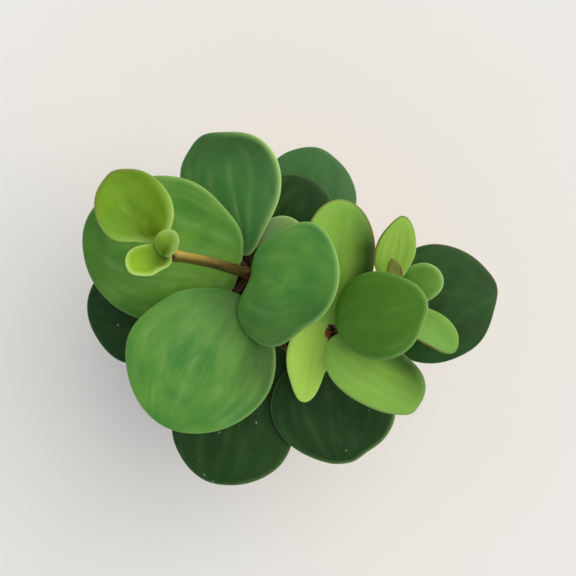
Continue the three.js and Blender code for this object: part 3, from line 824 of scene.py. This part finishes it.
GROWN_LEAVES = [
    plan(
        "leaf_left", (-3.5, 7.3, 66.2), (-4.3, 10.0, 66.5), (-41.1, 15.6, 71), 34.5, roll=-12, arch=14,
        cup=14, notch=0.02, shoulders=[(-10, 0.4, 20), (-132, -1.2, 22)], age=1.3, sun=0.3, veins=0.32,
        clouds=0.6, pale=(30, 70, 0.45), dusk=(195, 75, 0.25),
    ),
    plan(
        "leaf_front_left", (-3.4, 7.0, 65), (-6.1, 3.0, 69.5), (-22.4, -27.5, 72.5), 33.5, roll=-8, arch=16,
        shoulders=[(0, 0.45, 25), (-150, -1.2, 32), (-110, -0.6, 20), (-80, 0.7, 20), (92, 0.6, 25)],
        cup=8, age=1.65, veins=0.33, clouds=0.4, dusk=(18, 58, 0.65), pale=(335, 60, 0.4),
    ),
    plan(
        "leaf_centre", (-3.4, 7.4, 66.5), (-4.9, 6.9, 71.6), (16.4, 2.2, 84.5), 30.2, arch=16, cup=-28,
        shoulders=[(-48, -2.1, 30), (48, -1.0, 35), (125, -0.9, 24), (-148, 1.3, 24), (168, 1.2, 14)],
        notch=0.12, skew=0.12, age=1.65, veins=0.2, pale=(0, 100, 0.6), dusk=(270, 75, 0.38),
    ),
    plan(
        "leaf_back", (-3.4, 7.0, 63.2), (-3.6, 11.2, 65.4), (-9.2, 39.4, 69.4), 25, roll=-16, arch=-4, cup=34,
        broad=0.09, taper=0.5, shoulders=[(22, 1.3, 18), (62, 0.4, 25), (-140, -0.9, 25)], age=2.35,
        bloom=0.1, clear=1.3, pale=(0, 80, 1.3), dusk=(95, 70, 0.55),
    ),
    plan(
        "leaf_back_small", (-3.3, 6.0, 61.5), (3.3, 8.3, 62.4), (5.2, 20.5, 66), 12, arch=4, cup=10, age=1.5,
        light=0.55, bloom=0.9, rim=0.5,
    ),
    plan(
        "leaf_middle_back", (16.0, -6.4, 66.4), (15.4, -4.7, 70), (17.8, 23.6, 77.3), 17.3, cup=75,
        broad=0.03, shoulders=[(-75, 0.8, 30)], age=1.0, light=0.18, heart=0.3, brown=(60, 120, 0.6),
        flecks=0.15, dusk=(355, 52, 0.9),
    ),
    plan(
        "leaf_middle_right", (16.6, -6.6, 66.5), (16.8, -5.6, 74), (36.6, 0.7, 80.5), 20.8, arch=12,
        point=0.3, petiole=0.6, shoulders=[(-100, -0.4, 50), (-33, -0.5, 20), (30, 0.4, 16)], age=2.4,
        sun=0.75, veins=0.12, clouds=0.6, pale=(340, 80, 0.4),
    ),
    plan(
        "leaf_middle_left", (16.0, -6.8, 62.4), (13.6, -3.8, 65.1), (8.9, -23.4, 61.5), 13.4, roll=8, cup=88,
        broad=-0.08, point=0.2, shoulders=[(66, -2.8, 28), (-45, -0.7, 30)], age=0.9, light=1, veins=0.06,
        crease=0.3, pale=(180, 90, 0.6), dusk=(5, 50, 0.35),
    ),
    plan(
        "leaf_middle_front", (16.4, -6.9, 67.1), (14.7, -8.8, 70.2), (36.2, -22.1, 72.2), 17.2, cup=40,
        taper=0.05, petiole=0.7, shoulders=[(-25, 0.6, 14), (-82, -0.9, 32), (73, -1.4, 25)], age=1.1,
        light=0.12, pale=(240, 120, 0.3), brown=(250, 80, 0.35), dusk=(35, 58, 0.85),
    ),
]
OLD_LEAVES = [
    plan(
        "leaf_left_low", (-3.1, 4.6, 55), (-12.0, 1.5, 56), (-42.6, -2.4, 57), 26, arch=12,
        shoulders=[(62, 1.7, 25)], age=4, flecks=0.4, veins=0.06,
    ),
    plan(
        "leaf_front_left_low", (-3.1, 4.2, 53.5), (-2.6, -9.5, 54), (-12.0, -44.2, 54), 29.5, arch=8,
        shoulders=[(12, -0.4, 18), (66, 1.3, 24), (-62, 0.4, 18), (152, 2.4, 24)], age=3.9, flecks=0.35,
        veins=0.08, pale=(320, 60, 0.25), dusk=(60, 80, 0.6),
    ),
    plan(
        "leaf_back_right_low", (-3.1, 4.8, 55), (4.9, 10.9, 55.5), (14.7, 37.2, 56.5), 22.5, arch=6,
        shoulders=[(-72, 0.9, 20), (-18, -0.6, 22), (58, 0.7, 20)], age=3.1, bloom=0.2, flecks=0.3, veins=0.1,
    ),
    plan(
        "leaf_back_right", (-3.2, 5.4, 58), (-0.5, 10.8, 58.7), (12.6, 28.6, 60.5), 22, arch=8, age=4,
        flecks=0.3, veins=0.08,
    ),
    plan(
        "leaf_front_low", (14.6, -7.1, 56), (13.9, -11.4, 58), (18.4, -38.8, 56), 29.5, arch=6, point=0.3,
        shoulders=[(64, 1.7, 26), (46, 0.3, 12), (19, 0.5, 12), (-28, -0.2, 20)], age=4, flecks=0.5,
        veins=0.08, pale=(325, 70, 0.45),
    ),
    plan(
        "leaf_right_low", (24.6, 1.3, 53.6), (28.8, -2.2, 56.5), (55.1, 3.4, 58), 28, arch=8, point=0.2,
        shoulders=[(-142, 2.0, 26), (-108, 0.8, 26), (-56, 0.8, 22), (4, 0.9, 20), (40, 0.4, 20)], age=3.6,
        flecks=0.25, veins=0.08, brown=(50, 60, 0.6),
    ),
]
YOUNG_LEAVES = [
    plan(
        "young_leaf_large", (-18.6, 10.7, 89.4), (-21.3, 13.4, 92.3), (-31.7, 26.4, 99), 16.0, roll=6, cup=36,
        shoulders=[(-12, 0.5, 16), (28, 0.1, 20), (-50, 0.3, 25), (138, -1.9, 34)], crease=0.12, thick=1.3,
        petiole=0.55, age=0.3, sun=0.45, heart=1, clouds=0.7, gloss=0.1, veins=0.4, rim=0.4, clear=1.8,
        pale=(320, 75, 1.2), brown=(140, 60, 0.5), dusk=(60, 60, 0.15),
    ),
    plan(
        "young_leaf_left", (-18.9, 10.7, 89.7), (-18.9, 10.1, 92.0), (-28.2, 9.0, 96.5), 8.0, arch=-50,
        cup=120, shoulders=[(37, 0.5, 20), (-45, 0.25, 25), (123, -0.9, 28)], thick=1, petiole=0.55, age=0,
        light=0.12, heart=1, veins=0.1, gloss=0.1, clear=1.3, pale=(250, 130, 1.2), dusk=(350, 70, 0.3),
    ),
    plan(
        "young_leaf_right", (-19.4, 10.9, 90.4), (-20.5, 10.3, 93.3), (-18.6, 15.9, 98.0), 6.0, arch=-30,
        cup=90, taper=0.2, shoulders=[(28, -0.4, 28), (-105, -0.5, 35)], thick=0.9, petiole=0.5, age=0,
        light=0.2, sun=0.1, heart=0.9, veins=0.1, gloss=0.1, rim=0.05, clear=1.8, pale=(15, 88, 2.0),
        dusk=(215, 80, 0.35),
    ),
    plan(
        "sprig_leaf_back", (30.0, 1.8, 63), (29.3, 5.0, 66), (31.6, 20.1, 73), 10, cup=45, point=0.45,
        shoulders=[(-38, 0.6, 25), (-118, -0.7, 30), (50, -0.3, 35)], thick=1.2, age=0.8, light=0.45,
        brown=(130, 80, 0.8),
    ),
    plan(
        "sprig_bud", (30.2, 1.8, 64.4), (30.6, 4.4, 70.4), (29.1, 10.4, 75.8), 3.6, cup=60, point=0.3,
        thick=1, petiole=0.5, age=1, tan=0.65, brown=(0, 80, 1.0),
    ),
    plan(
        "sprig_leaf_right", (29.8, 1.8, 63), (33.4, 3.2, 66), (41.3, 6.7, 69), 9.5, cup=35,
        shoulders=[(-75, -0.6, 40), (125, 0.8, 25)], thick=1.2, age=1.2, heart=0.45, veins=0.35,
        pale=(0, 120, 0.6),
    ),
    plan(
        "sprig_leaf_front", (30.0, 1.8, 63), (32.1, -1.1, 65.5), (45.4, -10.7, 66.5), 9.4, roll=-20, cup=50,
        shoulders=[(-69, -0.8, 26), (15, -0.4, 30), (110, -0.5, 25)], thick=1.2, age=1.2,
        brown=(240, 70, 0.8),
    ),
]
LEAVES = GROWN_LEAVES + OLD_LEAVES + YOUNG_LEAVES
for seed, planned in enumerate(LEAVES):
    planned["seed"] = seed


def outline_place(leaf, long, angle, reach):
    """Where a point of the flat leaf lies along and across it. Angle 0 is the tip."""
    cos = np.cos(angle)
    middle = 0.5 + leaf["broad"]
    from_base = math.pi - np.abs(angle)
    dent = leaf["notch"] * np.exp(-((from_base / NOTCH_SPREAD) ** 2))
    along = 0.5 + 0.5 * cos + leaf["broad"] * np.sin(angle) ** 2 + dent
    near_tip = leaf["point"] * ((1 + cos) / 2) ** 4
    near_base = leaf["taper"] * ((1 - cos) / 2) ** 4
    across = 0.5 * np.sin(angle) * (1 - near_tip - near_base)
    for middle_of, out, spread in leaf["shoulders"]:
        away = (np.degrees(angle) - middle_of + 180) % 360 - 180
        reach = reach * (1 + 4 * out / (long + leaf["width"]) * np.exp(-((away / spread) ** 2)))
    side = leaf["width"] * across * reach
    return long * (middle + (along - middle) * reach) + leaf["skew"] * side, side


def bend(leaf, long, along, across, up):
    """Bends points of the flat leaf: arch along the midrib, cup across it."""
    arch, cup = (math.radians(leaf[key]) or NO_BEND for key in ("arch", "cup"))
    circle = leaf["width"] / cup
    turn = across / circle
    lift = circle - (circle - up) * np.cos(turn)
    spine = long / arch
    lean = (along / long - 0.5) * arch
    x = (spine + lift) * np.sin(lean) + spine * math.sin(arch / 2)
    z = (spine + lift) * np.cos(lean) - spine * math.cos(arch / 2)
    return np.stack([x, (circle - up) * np.sin(turn), z], -1)


def place_leaf(leaf, points):
    """Takes points from the leaf's own frame, with its midrib along +X, to its place."""
    base, tip = Vector(leaf["base"]), Vector(leaf["tip"])
    forward = (tip - base).normalized()
    turn = (
        Matrix.Rotation(math.atan2(forward.y, forward.x), 3, "Z")
        @ Matrix.Rotation(-math.asin(forward.z), 3, "Y")
        @ Matrix.Rotation(math.radians(leaf["roll"]), 3, "X")
    )
    return points @ np.array(turn).T + np.array(base)


def blade_length(leaf):
    """The midrib's length over its arch."""
    arch = math.radians(leaf["arch"]) or NO_BEND
    chord = (Vector(leaf["tip"]) - Vector(leaf["base"])).length
    return chord * arch / 2 / math.sin(arch / 2)


def blade_rings():
    """(reach, height, side) of each ring, from the top's middle over the rim to below."""
    flat = [(RIM_START * i / TOP_RINGS) for i in range(1, TOP_RINGS)]
    top = [(r, math.sqrt(1 - r**4), 1.0) for r in flat]
    start = math.asin(RIM_START**2)
    rim = [
        (math.sqrt(math.sin(a)), math.cos(a), math.cos(a) / math.cos(start))
        for a in np.linspace(start, math.pi - start, RIM_RINGS)
    ]
    below = [(r, -h, -s) for r, h, s in reversed(top[::2])]
    return [(0.0, 1.0, 1.0)] + top + rim + below + [(0.0, -1.0, -1.0)]


def facing(side, points):
    """How much shows at each point of a leaf's pale side, where the rim is painted light, of its brown side,
    or of its side painted darker as shade.
    """
    toward, spread, strength = side
    out = points - points[0]
    away = np.degrees(np.arctan2(out[:, 1], out[:, 0])) - toward
    away = np.abs((away + 180) % 360 - 180)
    return strength * np.clip(1.5 - away / spread, 0, 1)


def blade(leaf, sizes, long):
    """The blade's points, its faces and what the wax and the veins need to know of each point."""
    rings = blade_rings()
    turn = np.linspace(-math.pi, math.pi, LEAF_AROUND, endpoint=False)
    counts = [1] + [LEAF_AROUND] * (len(rings) - 2) + [1]
    angle = np.concatenate([turn if n > 1 else [0.0] for n in counts])
    reach, height, side = (np.repeat([r[i] for r in rings], counts) for i in range(3))
    along, across = outline_place(leaf, long, angle, reach)
    middle = outline_place(leaf, long, 0.0, 0.0)
    out = outline_place(leaf, long, angle, 1.0)
    edge = (1 - reach) * np.hypot(out[0] - middle[0], out[1] - middle[1])

    run = np.cos(angle) * reach
    hidden = np.sqrt(np.clip(1 - run**2, 0.01, 1))
    spread = np.sin(angle) * reach / hidden
    half = 0.5 * leaf["width"] * hidden
    thick = leaf["thick"] or mm(sizes.leaf_thickness)

    from_vein = np.abs((np.abs(spread) + VEIN_STEP / 2) % VEIN_STEP - VEIN_STEP / 2) * half
    calm = np.clip((1 - reach) * 4, 0, 1) * (1 - 0.6 * np.clip(run, 0, 1))
    furrow = mm(sizes.vein_depth) * np.exp(-((from_vein / FURROW_WIDE) ** 2)) * calm
    crease = leaf["crease"] * np.exp(-((across / CREASE_WIDE) ** 2)) * np.clip((1 - reach) * 3, 0, 1)
    # A low lip, 1.1 mm in from the edge
    lip = 0.03 * thick * np.exp(-(((edge - 1.1) / 0.7) ** 2))
    size = leaf["width"] / FULL_WIDTH
    waves = np.array([
        noise.noise(Vector((a / WAVE_LONG / size**0.5, c / WAVE_LONG / size**0.5, leaf["seed"] * 3.7)))
        for a, c in zip(along, across)
    ])
    up = 0.5 * thick * height + mm(sizes.wave_height) * size * waves
    up += np.where(side > 0, lip - furrow - crease, -0.6 * furrow)
    points = place_leaf(leaf, bend(leaf, long, along, across, up))
    facts = {
        "leaf_mm": np.stack([along, across, edge], 1),
        "leaf_vein": np.stack([spread, half, run], 1),
        "leaf_rim": np.stack([side, facing(leaf["pale"], points), facing(leaf["brown"], points)], 1),
        # Painted shade: how much darker each point is painted on the shaded side, more towards the rim
        "leaf_dusk": facing(leaf["dusk"], points) * np.clip((reach - 0.2) / 0.6, 0, 1),
        "stalk": np.zeros(len(points)),
    }
    return points, ring_faces(len(rings) - 2, LEAF_AROUND), facts


def stalk(leaf, sizes, long, first):
    """The leaf stalk: it leaves the stem on a small cushion, meets the blade's underside, and
    runs on along it as a midrib that sinks in."""
    thick = leaf["thick"] or mm(sizes.leaf_thickness)
    # Where it runs under the blade: shares of the blade's length, and depths below its middle
    shares = (0.03, 0.18, 0.4, 0.65)
    depths = (0.1 + 0.75 * leaf["petiole"], 0.45 * thick, 0.45 * thick, 0.48 * thick)
    under = [
        bend(leaf, long, (leaf["notch"] + share) * long, 0.0, -depth) for share, depth in zip(shares, depths)
    ]
    under = place_leaf(leaf, np.array(under))
    line, run = smooth_line([leaf["joint"], *under], STALK_STEP)
    marks = [run[int(np.argmin(np.linalg.norm(line - p, axis=1)))] for p in under]
    # Its cushion is 1.5 mm long, and it thins out at each of those places
    radii = leaf["petiole"] * np.interp(run, [0, 1.5, *marks], [1.25, 1, 0.85, 0.55, 0.35, 0.12])
    points = tube(line, radii, STALK_SIDES)
    # Near the stem the stalk takes the dark stalk colour, which is partly painted shade
    red = np.clip(1 - (run - marks[0]) / RED_LONG, 0, 1)
    count = len(points)
    # For the leaf's material it is all underside, far from the edge and between two veins
    facts = {
        "leaf_mm": points + (0, 0, 20),
        "leaf_vein": np.tile((0.17, 10.0, 0.0), (count, 1)),
        "leaf_rim": np.tile((-1.0, 0.0, 0.0), (count, 1)),
        "leaf_dusk": np.zeros(count),
        "stalk": np.concatenate([red[:1], np.repeat(red, STALK_SIDES), red[-1:]]),
    }
    return points, ring_faces(len(line), STALK_SIDES, first), facts


def grow_leaves(context, table):
    """Grows each leaf of a table with its stalk, in place of its CAD solid."""
    sizes, colours = context.scene.peperomia_sizes, context.scene.peperomia_colours
    for leaf in table:
        long = blade_length(leaf)
        points, faces, facts = blade(leaf, sizes, long)
        more, more_faces, more_facts = stalk(leaf, sizes, long, len(points))
        points = np.concatenate([points, more])
        facts = {key: np.concatenate([facts[key], more_facts[key]]) for key in facts}
        wax = waxy_leaf(leaf, sizes, colours)
        make_piece("waxy_" + leaf["name"], leaf["name"], points, faces + more_faces, facts, wax)


# Operators


class ThrowPot(bpy.types.Operator):
    """Makes the clay pot with its rim band and drain holes"""

    bl_idname = "peperomia.throw_pot"
    bl_label = "Throw pot"

    def execute(self, context):
        """Turns the outline, drills the holes and finishes the clay."""
        points, rings = pot_points(context.scene.peperomia_sizes)
        clay = terracotta(context.scene.peperomia_colours)
        pot = make_piece("clay_pot", "pot", points, ring_faces(rings, POT_AROUND), {}, clay)
        drill_drain_holes(pot)
        return {"FINISHED"}


class FillSoil(bpy.types.Operator):
    """Fills the pot with crumbly soil"""

    bl_idname = "peperomia.fill_soil"
    bl_label = "Fill with soil"

    def execute(self, context):
        """Makes the plug of soil and strews crumbs over it."""
        points, rings = soil_points()
        more, faces, grain = crumb_points(context.scene.peperomia_sizes, len(points))
        facts = {"grain": [0.0] * len(points) + grain}
        faces = ring_faces(rings, SOIL_AROUND) + faces
        peat = potting_soil(context.scene.peperomia_colours)
        make_piece("potting_soil", "soil", np.concatenate([points, more]), faces, facts, peat)
        return {"FINISHED"}


class GrowStems(bpy.types.Operator):
    """Grows the three fleshy stems"""

    bl_idname = "peperomia.grow_stems"
    bl_label = "Grow stems"

    def execute(self, context):
        """Makes each stem along its points."""
        skin = fleshy_stem(context.scene.peperomia_colours)
        for stem in STEMS:
            grow_stem(stem, context.scene.peperomia_sizes, skin)
        return {"FINISHED"}


class GrowGrownLeaves(bpy.types.Operator):
    """Grows the big fresh leaves of the upper whorls"""

    bl_idname = "peperomia.grow_grown_leaves"
    bl_label = "Grow upper leaves"

    def execute(self, context):
        """Makes each leaf of the upper whorls."""
        grow_leaves(context, GROWN_LEAVES)
        return {"FINISHED"}


class GrowOldLeaves(bpy.types.Operator):
    """Grows the dark leaves low on the stems"""

    bl_idname = "peperomia.grow_old_leaves"
    bl_label = "Grow old leaves"

    def execute(self, context):
        """Makes each old leaf."""
        grow_leaves(context, OLD_LEAVES)
        return {"FINISHED"}


class GrowYoungLeaves(bpy.types.Operator):
    """Grows the small leaves and the bud at the ends of the stems"""

    bl_idname = "peperomia.grow_young_leaves"
    bl_label = "Grow young leaves"

    def execute(self, context):
        """Makes each young leaf and the bud."""
        grow_leaves(context, YOUNG_LEAVES)
        return {"FINISHED"}


# The stage
# The camera hangs straight over CAMERA_X and CAMERA_Y, in mm. One window lights the plant: its
# direction, how wide it looks in degrees, its strength and its colour. The room round it gives
# the soft rest, brighter from the sides than from straight above.

CAMERA_X = 5.67
CAMERA_Y = 3.70
SENSOR = 36.0
FLOOR_SIZE = 6.0
WINDOW_WAY = (0.85, 0.5, 1.0)
WINDOW_WIDE = 74
WINDOW_STRENGTH = 1.85
WINDOW_COLOUR = "fff6e8"
ROOM_SIDE = 0.92
ROOM_TOP = 0.46
ROOM_COLOUR = "dde6f6"


class SetStage(bpy.types.Operator):
    """Sets up a pale floor, soft light and the camera over the plant"""

    bl_idname = "peperomia.set_stage"
    bl_label = "Set stage"

    def execute(self, context):
        """Makes the floor, the window, the pale surroundings and the camera."""
        scene = context.scene
        look = scene.peperomia_stage
        material, tree, surface = new_material("painted_board")
        # Matt painted board: even and pale, with a hardly visible mottle about 40 mm wide
        place = add(tree, "TexCoord", out=3)
        mottle = add(tree, "TexNoise", {"Vector": place, "Scale": 1 / 0.04, "Detail": 3})
        share = add(tree, "MapRange", {0: mottle, 3: 0.0, 4: 0.06})
        body = add(tree, "Mix", {0: share, 6: look.floor, 7: linear("d9d2c6")}, 2, data_type="RGBA")
        tree.links.new(add(tree, "BsdfPrincipled", {"Base Color": body, "Roughness": 0.8}), surface)
        reach = FLOOR_SIZE / 2
        corners = [(-reach, -reach, 0), (reach, -reach, 0), (reach, reach, 0), (-reach, reach, 0)]
        mesh = bpy.data.meshes.new("floor")
        mesh.from_pydata(corners, [], [(0, 1, 2, 3)])
        mesh.materials.append(material)
        floor = bpy.data.objects.new("floor", mesh)
        scene.collection.objects.link(floor)
        floor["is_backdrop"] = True
        lamp = bpy.data.lights.new("window", "SUN")
        lamp.angle = math.radians(WINDOW_WIDE)
        lamp.energy = WINDOW_STRENGTH
        lamp.color = linear(WINDOW_COLOUR)[:3]
        holder = bpy.data.objects.new("window", lamp)
        holder.rotation_euler = Vector(WINDOW_WAY).to_track_quat("Z", "Y").to_euler()
        scene.collection.objects.link(holder)
        world = bpy.data.worlds.new("pale_room")
        world.use_nodes = True
        sky = world.node_tree
        up = add(sky, "SeparateXYZ", (add(sky, "TexCoord"),), 2)
        light = add(sky, "MapRange", (up, 0.2, 0.95, ROOM_SIDE, ROOM_TOP))
        room = sky.nodes["Background"]
        room.inputs["Color"].default_value = linear(ROOM_COLOUR)
        sky.links.new(light, room.inputs["Strength"])
        scene.world = world
        lens = bpy.data.cameras.new("overhead")
        lens.sensor_width = SENSOR
        lens.lens = SENSOR / 2 / math.tan(look.field_of_view / 2)
        lens.clip_start = 0.01
        lens.clip_end = 20
        camera = bpy.data.objects.new("overhead", lens)
        camera.location = (CAMERA_X * MM, CAMERA_Y * MM, look.camera_height)
        scene.collection.objects.link(camera)
        scene.camera = camera
        scene.view_settings.view_transform = "Standard"
        return {"FINISHED"}


STEPS = (ThrowPot, FillSoil, GrowStems, GrowGrownLeaves, GrowOldLeaves, GrowYoungLeaves, SetStage)


class PeperomiaPanel(bpy.types.Panel):
    """Lists the steps, sizes and colours in the sidebar"""

    bl_idname = "VIEW3D_PT_peperomia"
    bl_label = "Potted peperomia"
    bl_space_type = "VIEW_3D"
    bl_region_type = "UI"
    bl_category = "Peperomia"

    def draw(self, context):
        """Draws a button for each step, and then the sizes and colours."""
        for step in STEPS:
            self.layout.operator(step.bl_idname)
        scene = context.scene
        for group in (scene.peperomia_sizes, scene.peperomia_colours, scene.peperomia_stage):
            box = self.layout.box()
            for name in group.__annotations__:
                box.prop(group, name)


CLASSES = (PlantSizes, PlantColours, StageLook, *STEPS, PeperomiaPanel)


def register():
    """Registers the classes and gives the scene its sizes and colours."""
    for kind in CLASSES:
        bpy.utils.register_class(kind)
    bpy.types.Scene.peperomia_sizes = bpy.props.PointerProperty(type=PlantSizes)
    bpy.types.Scene.peperomia_colours = bpy.props.PointerProperty(type=PlantColours)
    bpy.types.Scene.peperomia_stage = bpy.props.PointerProperty(type=StageLook)


def unregister():
    """Takes back what register() did."""
    del bpy.types.Scene.peperomia_stage
    del bpy.types.Scene.peperomia_colours
    del bpy.types.Scene.peperomia_sizes
    for kind in reversed(CLASSES):
        bpy.utils.unregister_class(kind)


def main():
    """Builds every piece and the stage."""
    register()
    bpy.ops.peperomia.throw_pot()
    bpy.ops.peperomia.fill_soil()
    bpy.ops.peperomia.grow_stems()
    bpy.ops.peperomia.grow_grown_leaves()
    bpy.ops.peperomia.grow_old_leaves()
    bpy.ops.peperomia.grow_young_leaves()
    bpy.ops.peperomia.set_stage()
    boxes = {"cad": CAD_BOX, "visual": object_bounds()}
    boxes = {name: [list(corner) for corner in box] for name, box in boxes.items()}


if __name__ == "__main__":
    main()
